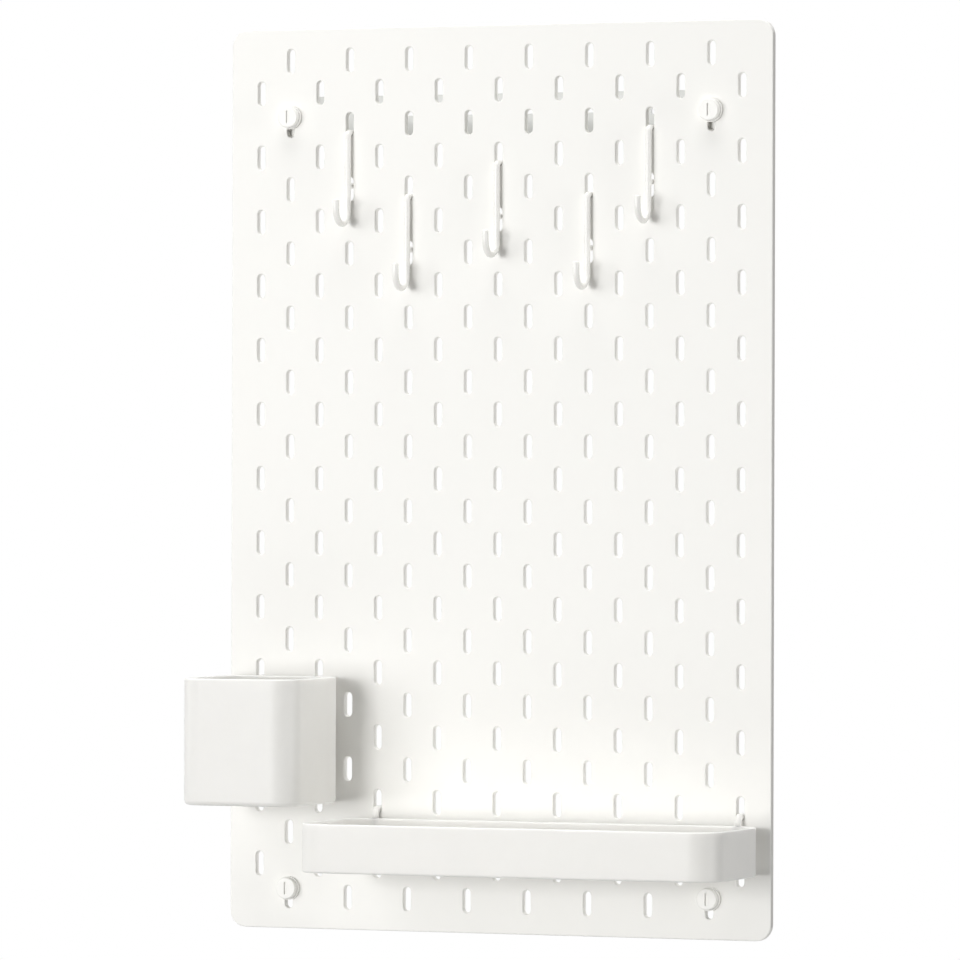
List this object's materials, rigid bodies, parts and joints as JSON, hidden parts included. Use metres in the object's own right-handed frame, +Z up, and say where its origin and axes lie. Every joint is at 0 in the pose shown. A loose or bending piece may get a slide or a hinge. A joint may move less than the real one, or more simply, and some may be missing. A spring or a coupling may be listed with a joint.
{
  "type": "pegboard",
  "caption": "White slotted pegboard on a wall rail, with lift-out wire hooks, an open container and a tray shelf.",
  "frame": {"origin": "midway between the two wall screw holes of the rail, on the wall", "axes": "+X to the right along the wall, +Y into the wall, +Z up; the board's front faces -Y"},
  "size_m": [0.36, 0.1085, 0.56],
  "materials": {
    "board_paint": "fibreboard with white satin paint",
    "rail_plastic": "light grey, matte",
    "fitting_plastic": "white, satin",
    "wire_coating": "white powder coat, semi-gloss",
    "accessory_plastic": "white, moulded, satin to semi-gloss"
  },
  "bodies": {
    "rail": {"wall_rail": "rail_plastic"},
    "board": {"pegboard_panel": "board_paint", "hanger_left": "fitting_plastic", "hanger_right": "fitting_plastic", "standoff_left": "fitting_plastic", "standoff_right": "fitting_plastic"},
    "screw_top_left": {"screw_top_left": "fitting_plastic"},
    "screw_top_right": {"screw_top_right": "fitting_plastic"},
    "screw_bottom_left": {"screw_bottom_left": "fitting_plastic"},
    "screw_bottom_right": {"screw_bottom_right": "fitting_plastic"},
    "hook_1": {"hook_1": "wire_coating"},
    "hook_2": {"hook_2": "wire_coating"},
    "hook_3": {"hook_3": "wire_coating"},
    "hook_4": {"hook_4": "wire_coating"},
    "hook_5": {"hook_5": "wire_coating"},
    "container": {"container": "accessory_plastic"},
    "shelf": {"shelf": "accessory_plastic"}
  },
  "joints": [
    {"name": "board_lift", "type": "slide", "parent": "rail", "child": "board", "axis": [0, 0, 1], "range_m": [0, 0.008]},
    {"name": "screw_top_left_turn", "type": "hinge", "parent": "board", "child": "screw_top_left", "pos_m": [-0.14, -0.018, -0.001], "axis": [0, -1, 0], "continuous": true},
    {"name": "screw_top_right_turn", "type": "hinge", "parent": "board", "child": "screw_top_right", "pos_m": [0.14, -0.018, -0.001], "axis": [0, -1, 0], "continuous": true},
    {"name": "screw_bottom_left_turn", "type": "hinge", "parent": "board", "child": "screw_bottom_left", "pos_m": [-0.14, -0.018, -0.481], "axis": [0, -1, 0], "continuous": true},
    {"name": "screw_bottom_right_turn", "type": "hinge", "parent": "board", "child": "screw_bottom_right", "pos_m": [0.14, -0.018, -0.481], "axis": [0, -1, 0], "continuous": true},
    {"name": "hook_1_lift", "type": "slide", "parent": "board", "child": "hook_1", "axis": [0, 0, 1], "range_m": [0, 0.0033]},
    {"name": "hook_2_lift", "type": "slide", "parent": "board", "child": "hook_2", "axis": [0, 0, 1], "range_m": [0, 0.0033]},
    {"name": "hook_3_lift", "type": "slide", "parent": "board", "child": "hook_3", "axis": [0, 0, 1], "range_m": [0, 0.0033]},
    {"name": "hook_4_lift", "type": "slide", "parent": "board", "child": "hook_4", "axis": [0, 0, 1], "range_m": [0, 0.0033]},
    {"name": "hook_5_lift", "type": "slide", "parent": "board", "child": "hook_5", "axis": [0, 0, 1], "range_m": [0, 0.0033]},
    {"name": "container_lift", "type": "slide", "parent": "board", "child": "container", "axis": [0, 0, 1], "range_m": [0, 0.0095]},
    {"name": "shelf_lift", "type": "slide", "parent": "board", "child": "shelf", "axis": [0, 0, 1], "range_m": [0, 0.0095]}
  ]
}
